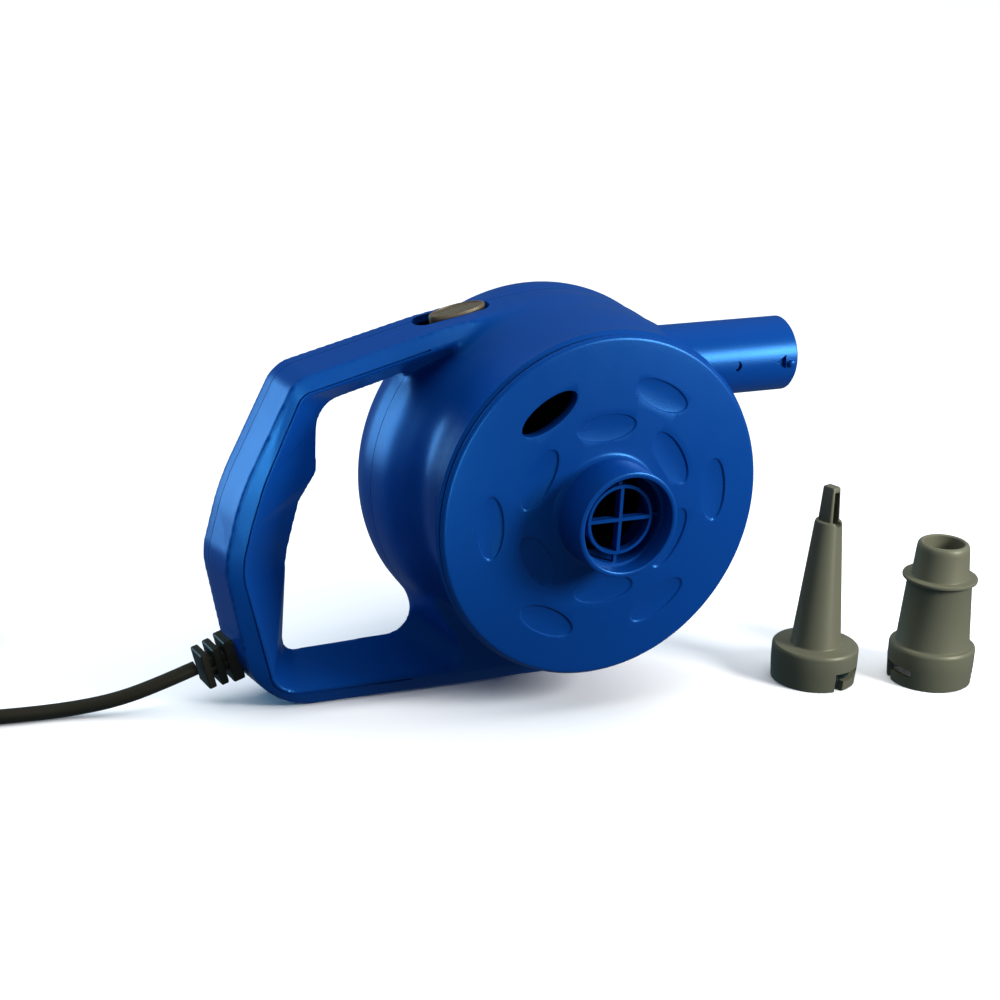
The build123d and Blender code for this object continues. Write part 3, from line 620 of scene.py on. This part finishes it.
# %% [markdown]
# ## Outlet tube
# The air leaves through a plain tube that takes a nozzle. Two small pegs on it fit the nozzle's
# slots, and a thin crescent and a small triangle are sunk into its front. A cylinder with
# bevelled ends would still need its bore cut, so the tube is turned from one closed profile. The
# marks are cut in and the pegs are joined on.
# %% The outlet tube
outlet = lathe("outlet_tube", [
    (TUBE_BORE_R, 16), (TUBE_R, 16), (TUBE_R, TUBE_END - 0.6), (TUBE_R - 0.6, TUBE_END),
    (TUBE_BORE_R + 0.4, TUBE_END), (TUBE_BORE_R, TUBE_END - 0.4)], 96, closed=True)
outlet.data.transform(TUBE_LINE)
TUBE_FRONT = TUBE_FORWARD + TUBE_R
crescent = drill(1.8, TUBE_FRONT - 1.5, TUBE_FRONT + 3, 50.5, TUBE_UP + 0.5)
cut(crescent, drill(1.75, TUBE_FRONT - 3, TUBE_FRONT + 5, 49.4, TUBE_UP + 1.1))
cut(outlet, crescent)
notch = lathe("notch", [(0, TUBE_FRONT - 1.4), (2.4, TUBE_FRONT - 1.4), (3.6, TUBE_FRONT + 2),
                        (0, TUBE_FRONT + 2)], 3)
notch.data.transform(moved(68.6, TUBE_UP + 0.6, 0) @ turned_about("Z", 180))
cut(outlet, notch)
PEG_PROFILE = [(0, -3), (1.25, -3), (1.25, 0.9), (1.0, 1.25), (0.6, 1.4), (0, 1.45)]
for side_turn in (180, 0):
    peg = lathe("peg", PEG_PROFILE, 32)
    peg.data.transform(moved(72, TUBE_UP, TUBE_FORWARD) @ turned_about("Y", side_turn)
                       @ moved(0, 0, TUBE_R))
    cut(outlet, peg, "UNION")
dress(placed(outlet), "blue_plastic", "pump_body")

# %% [markdown]
# ## Front cover
# A slightly domed round plate with a rolled rim and an inlet collar. The whole plate is one
# profile turned on the lathe, which keeps it truly round. It is then marked with two rings of
# shallow ovals, each a turned plug stretched into an oval and sunk square to the dome. One oval
# goes right through.
# %% The front cover
COVER_R, RIM_ROUND, ROOT_ROUND = 60.0, 1.6, 2
COLLAR_R, COLLAR_BORE, COLLAR_LONG = 18.6, 16.6, 18.2
CROWN, CROWN_R = 2.6, COVER_R - RIM_ROUND
GUARD_R, GUARD_DEPTH = 15.5, 6.0
rim = [(CROWN_R + RIM_ROUND * math.sin(math.radians(a)),
        FACE - RIM_ROUND + RIM_ROUND * math.cos(math.radians(a))) for a in range(90, -1, -15)]


def crown(radius):
    """How far the slightly domed face stands forward of its rim."""
    return CROWN * (1 - (radius / CROWN_R) ** 2)


root = [(COLLAR_R + ROOT_ROUND - ROOT_ROUND * math.sin(math.radians(a)),
         FACE + crown(20) + ROOT_ROUND - ROOT_ROUND * math.cos(math.radians(a)))
        for a in range(0, 91, 15)]
lip = FACE + COLLAR_LONG
profile = [(GUARD_R, COVER_SEAT), (COVER_R - 1.4, COVER_SEAT),
           (COVER_R - 1.4, COVER_SEAT + 1.1), (COVER_R, COVER_SEAT + 1.3)] + rim
profile += [(radius, FACE + crown(radius)) for radius in range(56, 22, -4)] + root
profile += [(COLLAR_R, lip - 0.6), (COLLAR_R - 0.2, lip - 0.2), (COLLAR_R - 0.6, lip),
            (COLLAR_BORE + 0.5, lip), (COLLAR_BORE + 0.1, lip - 0.2), (COLLAR_BORE, lip - 0.5),
            (COLLAR_BORE, lip - GUARD_DEPTH), (GUARD_R, lip - GUARD_DEPTH)]
cover = lathe("front_cover", profile, 192, closed=True)
print("cover profile points:", len(profile))

# %% Its twelve ovals
OVAL_WIDE, OVAL_LONG, OVAL_DEEP, THROUGH = 4.8, 11.5, 0.65, 9
OPEN_OVAL = 123.5
for ring_radius, first in ((42.6, 3.5), (28.9, 33.5)):
    slope = math.degrees(2 * CROWN * ring_radius / CROWN_R ** 2)
    for step in range(6):
        angle = first + 60 * step
        depth = THROUGH if abs(angle - OPEN_OVAL) < 1 else OVAL_DEEP
        oval = lathe("oval", [(0, -depth), (0.93, -depth), (1, 0), (1.02, 3), (0, 3)], 72)
        oval.data.transform(
            turned_about("Z", angle) @ moved(ring_radius, 0, FACE + crown(ring_radius))
            @ turned_about("Y", slope) @ Matrix.Diagonal((OVAL_WIDE, OVAL_LONG, 1, 1)))
        cut(cover, oval)
soften = cover.modifiers.new("soften", "BEVEL")
soften.width = 0.25
soften.segments = 2
soften.limit_method = "ANGLE"
soften.angle_limit = math.radians(40)
baked(cover)
dress(placed(cover), "blue_plastic", "pump_body", "front_cover")

# %% [markdown]
# ## Loose nozzles
# Each nozzle is a turned shape that stands on its wide skirt. A bayonet slot goes up from the
# skirt's rim and then round to one side, so that it can be pushed over the outlet's peg and
# twisted. Bending a wall of faces round such a slot is slow work, so the slots are sawn and
# drilled out of the turned shape with cutting tools.
# %% Tools for the slots
GROOVE_UP, GROOVE_HALF = 5.4, 1.6
SAW_IN, SAW_OUT = 11.5, 20


def ring_piece(name, inner, outer, low, high, start, span, steps):
    """Part of a ring, made by turning one section through an angle."""
    bm = bmesh.new()
    places = [(inner, 0, low), (outer, 0, low), (outer, 0, high), (inner, 0, high)]
    face = bm.faces.new([bm.verts.new(place) for place in places])
    bmesh.ops.rotate(bm, verts=bm.verts, cent=(0, 0, 0),
                     matrix=Matrix.Rotation(math.radians(start), 3, "Z"))
    bmesh.ops.spin(bm, geom=[face], cent=(0, 0, 0), axis=(0, 0, 1), angle=math.radians(span),
                   steps=steps, use_merge=False, use_duplicate=False)
    return link_mesh(name, bm)


def side_drill(radius, reach_in, reach_out, up, degrees):
    """A drill that enters from the side at a height and an angle."""
    hole = drill(radius, reach_in, reach_out)
    hole.data.transform(turned_about("Z", degrees) @ moved(0, 0, up) @ turned_about("Y", 90))
    return hole


def saw_bayonet(piece, entry, span=40):
    """The slot's upright entry, its run round the skirt and its round closed end."""
    low, high = GROOVE_UP - GROOVE_HALF, GROOVE_UP + GROOVE_HALF
    cut(piece, ring_piece("entry", SAW_IN, SAW_OUT, -3, high, entry - 7, 14, 6))
    cut(piece, ring_piece("run", SAW_IN, SAW_OUT, low, high, entry, span, 12))
    cut(piece, side_drill(GROOVE_HALF, SAW_IN, SAW_OUT, GROOVE_UP, entry + span))


# %% The skirt that both share
SKIRT_R, SOCKET_R, SOCKET_DEEP = 15.5, 12.95, 12.0


def skirt_profile(height):
    """The skirt from its bore round its foot to its softened shoulder."""
    return [(SOCKET_R, SOCKET_DEEP), (SOCKET_R, 0.4), (SOCKET_R + 0.3, 0), (SKIRT_R - 0.9, 0),
            (SKIRT_R - 0.5, 0.35), (SKIRT_R - 0.05, height * 0.5), (SKIRT_R, height - 1.4),
            (SKIRT_R - 0.2, height - 0.6), (SKIRT_R - 0.7, height - 0.1),
            (SKIRT_R - 1.3, height)]


def standing(node):
    """The matrix that stands a nozzle on the floor where its node stands."""
    low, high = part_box(node)
    place = ((low.x + high.x) / 2, (low.y + high.y) / 2, 0)
    return Matrix.Translation(place) @ Matrix.Scale(0.001, 4)


print("skirt across:", 2 * SKIRT_R, "socket across:", 2 * SOCKET_R)


# %% The pinch-valve nozzle
BLADE_TURN = -73
pinch = lathe("pinch_nozzle_shell", skirt_profile(13.5) + [
    (9.7, 13.5), (9.2, 13.7), (8.9, 14.3), (4.9, 59.0), (4.6, 59.8), (4.0, 60.0), (2.9, 60.0),
    (6.6, SOCKET_DEEP)], 128, closed=True)
blade = stack("blade", [(oblong(3.1, 2.7, 0.9), 40), (oblong(3.1, 2.7, 0.9), 60),
                        (oblong(2.6, 2.0, 0.7), 72), (oblong(2.3, 1.7, 0.5), 72.5)])
cut(blade, drill(4.85, 30, 80), "INTERSECT")
cut(pinch, blade, "UNION")
bore = [(0, 11), (6.6, 11), (6.6, SOCKET_DEEP), (2.2, 58), (2.2, 66), (0, 66)]
cut(pinch, lathe("bore", bore, 48))
window_outline = [(-1.6, 58.4, 1.55), (1.6, 58.4, 1.55), (1.3, 70.8, 0.4), (-1.3, 70.8, 0.4)]
window = stack("window", [(window_outline, 0), (window_outline, 9)])
window.data.transform(turned_about("Z", 90) @ turned_about("X", 90))
cut(pinch, window)
pinch.data.transform(turned_about("Z", BLADE_TURN))
for entry in (-85, 95):
    saw_bayonet(pinch, entry)
dress(placed(pinch, standing("pinch_nozzle")), "nozzle_plastic", "pinch_nozzle", "pinch_nozzle")

# %% The stepped nozzle
stepped = lathe("stepped_nozzle_shell", skirt_profile(14) + [
    (13.9, 14), (13.4, 14.2), (13.2, 14.8), (11.6, 37.4), (11.8, 37.9), (12.4, 38.2),
    (13.1, 38.3), (13.4, 38.5), (13.5, 38.95), (13.4, 39.4), (13.1, 39.6), (10.9, 39.6),
    (10.5, 39.7), (10.3, 40.2), (9.5, 49.5), (9.3, 50.9), (8.9, 51.6), (8.3, 52.0),
    (7.7, 52.0), (7.3, 51.7), (7.2, 51.2), (7.8, 38.0), (9.6, 38.0), (11.2, SOCKET_DEEP)],
    128, closed=True)
for entry in (163, -17):
    saw_bayonet(stepped, entry)
dress(placed(stepped, standing("stepped_nozzle")), "nozzle_plastic", "stepped_nozzle",
      "stepped_nozzle")

# %% [markdown]
# ## Switch slide
# The slide is an oval thumb plate with a fine raised rim and shallow ribs for grip, on a stem
# that reaches through the slot into the switch. It is turned as a round plate and then
# stretched into an oval, so its rim needs no cutting. The ribs and the stem are laid in
# afterwards as small softened boxes.
# %% The slide
KNOB_LONG, KNOB_WIDE = 20.8, 8.8
RIB_SPACING = 1.15


def box_in(bm, size, centre):
    """A box added to a mesh, its edges softened."""
    made = bmesh.ops.create_cube(bm, size=1)["verts"]
    bmesh.ops.scale(bm, vec=size, verts=made)
    bmesh.ops.translate(bm, vec=centre, verts=made)
    edges = list({edge for vert in made for edge in vert.link_edges})
    bmesh.ops.bevel(bm, geom=edges, offset=min(size) * 0.25, offset_type="OFFSET", segments=2,
                    profile=0.5, affect="EDGES", material=-1, clamp_overlap=True)


knob = lathe("switch_slide", [(0, -2.3), (0.95, -2.3), (1, -1.9), (1, 1.6), (0.985, 1.95),
                              (0.95, 2.1), (0.91, 2.05), (0.88, 1.65), (0, 1.75)], 96)
knob.data.transform(Matrix.Diagonal((KNOB_LONG / 2, KNOB_WIDE / 2, 1, 1)))
extras = bmesh.new()
extras.from_mesh(knob.data)
for step in range(-6, 7):
    rib_long = 6.6 * math.sqrt(1 - (step / 8) ** 2)
    box_in(extras, (0.35, rib_long, 0.5), (step * RIB_SPACING, 0, 1.58))
box_in(extras, (5, 3, 5), (0, 0, -4.3))
extras.to_mesh(knob.data)
extras.free()
knob.data.transform(SWITCH_SPOT @ moved(1.5, -0.7, 1.8) @ turned_about("X", -90))
dress(placed(knob), "knob_plastic", "slide_switch", "switch_knob", sharp=50)

# %% [markdown]
# ## Strain relief
# Square plates on a slim core, joined by narrow ribs, so that the cord can bend but not pull
# out. Each plate is stacked from rounded squares with softened edges, since a plain bevelled
# box would round its four corners no more than its edges.
# %% The strain relief, each plate (wide, high, start, end)
RELIEF = (moved(*RELIEF_ROOT, 0) @ Matrix.Rotation(RELIEF_TURN, 4, "Z") @ moved(0, 0.9, 0)
          @ turned_about("Y", 90))
FLANGE = (8.4, 9.0, -5.7, -3.1)
PLATES = [(10.4, 15.6, -1.6, 2.6), (10.2, 14.0, 4.3, 7.0), (9.8, 13.2, 8.7, 11.4)]
SIDE_RIB = (9.2, 1.6, 1, 10.6)


def plate(name, wide, high, start, end, soft=0.35):
    """A softened square plate across the cord's way out."""
    corners = oblong(wide / 2, high / 2, 0.7)
    smaller = grown(corners, -soft)
    return stack(name, [(smaller, start), (corners, start + soft), (corners, end - soft),
                        (smaller, end)], 4)


relief = plate("strain_relief_boot", 6.6, 6.6, -3, 11)
for sizes in (FLANGE, *PLATES, SIDE_RIB):
    cut(relief, plate("relief plate", *sizes), "UNION")
relief.data.transform(RELIEF)
dress(placed(relief), "cord_jacket", "pump_body", "strain_relief")

# %% [markdown]
# ## Plug
# A plain moulded two-blade plug: a ribbed neck, then a grip with rounded edges and a slight
# waist for finger and thumb. The grip changes its outline along its length, so it is stacked,
# and the neck is round, so it is turned.
# %% The plug
PLUG = moved(*PLUG_SPOT) @ turned_about("Y", 8) @ turned_about("Y", 90)
GRIP_SECTIONS = [(-2.6, 9), (-1.0, 9.8), (-0.2, 11.5), (-0.1, 14), (-0.9, 19), (-0.9, 22),
                 (0, 27), (-0.2, 30), (-1.2, 31)]
grip = oblong(5.6, 11.5, 4)
plug = stack("plug_grip", [(grown(grip, grow), forward) for grow, forward in GRIP_SECTIONS])
plug.data.transform(turned_about("Z", 90))
neck_profile = [(0, 0), (2.9, 0)]
for rib in range(4):
    swell, along = 0.35 * rib, 2.3 * rib
    neck_profile += [(3.4 + swell, 0.6 + along), (3.4 + swell, 1.9 + along),
                     (3.0 + swell, 2.1 + along)]
neck_profile += [(4.6, 9.6), (4.6, 12), (0, 12)]
cut(plug, lathe("neck", neck_profile, 48), "UNION")
plug.data.transform(PLUG)
dress(placed(plug), "cord_jacket", "pump_body", "plug_body")

# %% [markdown]
# ## Stage
# A pale floor and soft studio light. One lamp could light it all, but glossy plastic shows every
# light as a highlight, so each light has one job. A large panel overhead lights the floor and
# the tops without being seen in the gloss. A small key at the front right lights the round
# face. A blue panel behind on the left draws the long highlights of the handle and the flank,
# and a narrow spot from low in front picks out the handle's face. The floor throws no light back
# and shows in no reflection, which keeps the blue deep.
# %% The floor and the world
bpy.ops.mesh.primitive_plane_add(size=9, location=(0, 0, 0))
floor = bpy.context.object
floor.name = "floor"
floor_finish = bpy.data.materials.new("pale floor")
floor_finish.use_nodes = True
floor_shader = floor_finish.node_tree.nodes["Principled BSDF"]
floor_shader.inputs["Base Color"].default_value = (0.93, 0.93, 0.93, 1)
floor_shader.inputs["Roughness"].default_value = 0.9
floor_shader.inputs["Specular IOR Level"].default_value = 0.1
floor.data.materials.append(floor_finish)
floor.visible_diffuse = False
floor.visible_glossy = False

world = bpy.data.worlds.new("studio")
world.use_nodes = True
world.node_tree.nodes["Background"].inputs["Color"].default_value = (0.5, 0.75, 1, 1)
world.node_tree.nodes["Background"].inputs["Strength"].default_value = 0.18
bpy.context.scene.world = world
print("floor", floor.dimensions[:2])


# %% The lights
def soft_light(name, place, power, wide, high, aim=AIM, colour=(1, 1, 1)):
    """A soft panel that looks at a point."""
    data = bpy.data.lights.new(name, "AREA")
    data.shape = "RECTANGLE"
    data.size = wide
    data.size_y = high
    data.energy = power
    data.color = colour
    light = bpy.data.objects.new(name, data)
    light.location = place
    light.rotation_euler = (Vector(aim) - Vector(place)).to_track_quat("-Z", "Y").to_euler()
    bpy.context.scene.collection.objects.link(light)
    return light


overhead = soft_light("overhead", (0, 1.0, 2.2), 115, 4.5, 4.0, (0, 1.0, 0))
overhead.visible_glossy = False
soft_light("key", (0.28, -0.34, 0.24), 2.8, 0.14, 0.14)
soft_light("rim", (-0.70, 0.62, 0.18), 6, 0.45, 0.5, colour=(0.3, 0.68, 1))
snoot_data = bpy.data.lights.new("snoot", "SPOT")
snoot_data.energy = 27
snoot_data.spot_size = math.radians(10)
snoot_data.spot_blend = 1.0
snoot_data.shadow_soft_size = 0.06
snoot = bpy.data.objects.new("snoot", snoot_data)
snoot.location = (-0.115, -0.72, 0.03)
snoot.rotation_euler = (spot(-112, 12, 12) - snoot.location).to_track_quat("-Z", "Y").to_euler()
bpy.context.scene.collection.objects.link(snoot)
print("lights:", len(bpy.data.lights))
